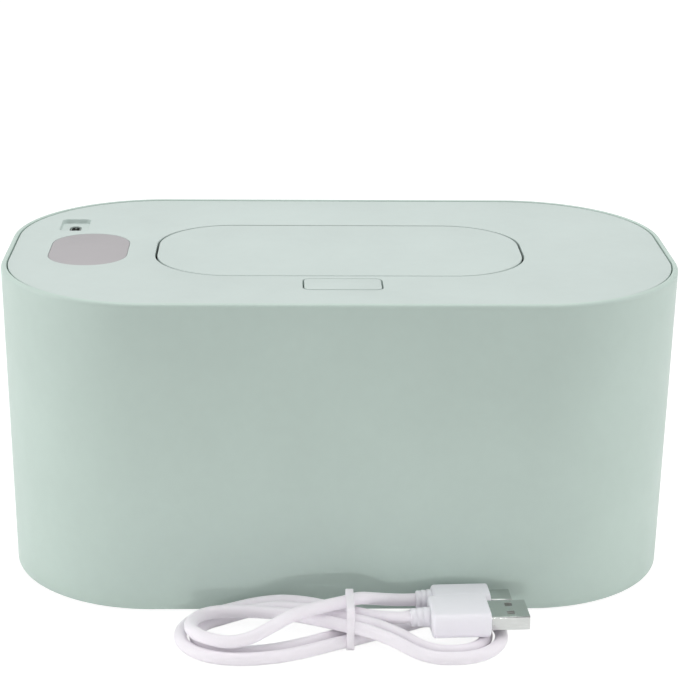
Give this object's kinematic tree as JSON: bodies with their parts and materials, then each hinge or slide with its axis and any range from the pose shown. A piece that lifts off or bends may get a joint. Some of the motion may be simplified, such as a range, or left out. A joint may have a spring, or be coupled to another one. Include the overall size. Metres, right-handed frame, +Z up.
{
  "type": "baby wipe warmer",
  "caption": "Rounded tub that keeps baby wipes warm: lift-off cover with heater, flush spring lid and release button, grey window, socket well, and a tied charging cable.",
  "frame": {"origin": "on the surface that the feet stand on, under the middle of the housing", "axes": "+X to the right as seen from the button side, +Y to the lid's hinge, +Z up"},
  "size_m": [0.218, 0.1637, 0.1022],
  "materials": {
    "mint_plastic": "satin, fine grain",
    "mint_top_plastic": "satin, fine grain",
    "white_plastic": "smooth moulded",
    "grey_rubber": "soft silicone",
    "dark_rubber": "matte",
    "screw_steel": "bright zinc",
    "plated_steel": "nickel plated",
    "insulation_foam": "closed-cell foam",
    "aluminium_sheet": "rolled sheet",
    "amber_film": "polyimide foil",
    "red_insulation": "smooth",
    "circuit_board": "solder mask",
    "dark_plastic": "moulded",
    "display_plastic": "diffuser",
    "window_grey": "satin, blank",
    "cord_jacket": "smooth soft jacket",
    "plug_plastic": "smooth moulded"
  },
  "bodies": {
    "housing": {"outer_shell": "mint_plastic", "base_cover": "mint_plastic", "base_screws": "screw_steel", "rubber_feet": "dark_rubber", "inner_tank": "white_plastic", "insulation_wrap": "insulation_foam", "cable_hank": "cord_jacket", "cable_tie": "cord_jacket", "usb_a_moulding": "plug_plastic", "usb_a_shell": "plated_steel", "usb_a_tongue": "white_plastic", "usb_c_moulding": "plug_plastic", "usb_c_shell": "plated_steel", "usb_c_tongue": "dark_plastic"},
    "cover": {"top_cover": "mint_top_plastic", "cover_pan": "white_plastic", "cover_screws": "screw_steel", "cover_gasket": "grey_rubber", "dispensing_mouth": "grey_rubber", "heater_plate": "aluminium_sheet", "heater_film": "amber_film", "heater_screws": "screw_steel", "temperature_sensor": "dark_plastic", "heater_leads": "red_insulation", "control_board": "circuit_board", "board_components": "dark_plastic", "board_screws": "screw_steel", "display_module": "display_plastic", "display_window": "window_grey", "usb_socket": "plated_steel", "lid_hinge_axle": "screw_steel", "lid_spring": "screw_steel", "button_spring": "screw_steel"},
    "lid": {"flip_lid": "mint_top_plastic", "lid_inner_panel": "white_plastic", "lid_seal": "grey_rubber", "lid_snap_hook": "white_plastic"},
    "button": {"release_button": "mint_top_plastic"}
  },
  "joints": [
    {"name": "cover_lift", "type": "slide", "parent": "housing", "child": "cover", "axis": [0, 0, 1], "range_m": [0, 0.12]},
    {"name": "lid_hinge", "type": "hinge", "parent": "cover", "child": "lid", "pos_m": [0, 0.03315, 0.0974], "axis": [-1, 0, 0], "range_deg": [0, 92], "deforming": ["lid_snap_hook"]},
    {"name": "button_press", "type": "slide", "parent": "cover", "child": "button", "axis": [0, 0, -1], "range_m": [0, 0.0018], "stiffness_N_per_m": 900, "springref_m": -0.0006, "deforming": ["button_spring", "lid_snap_hook"]}
  ]
}
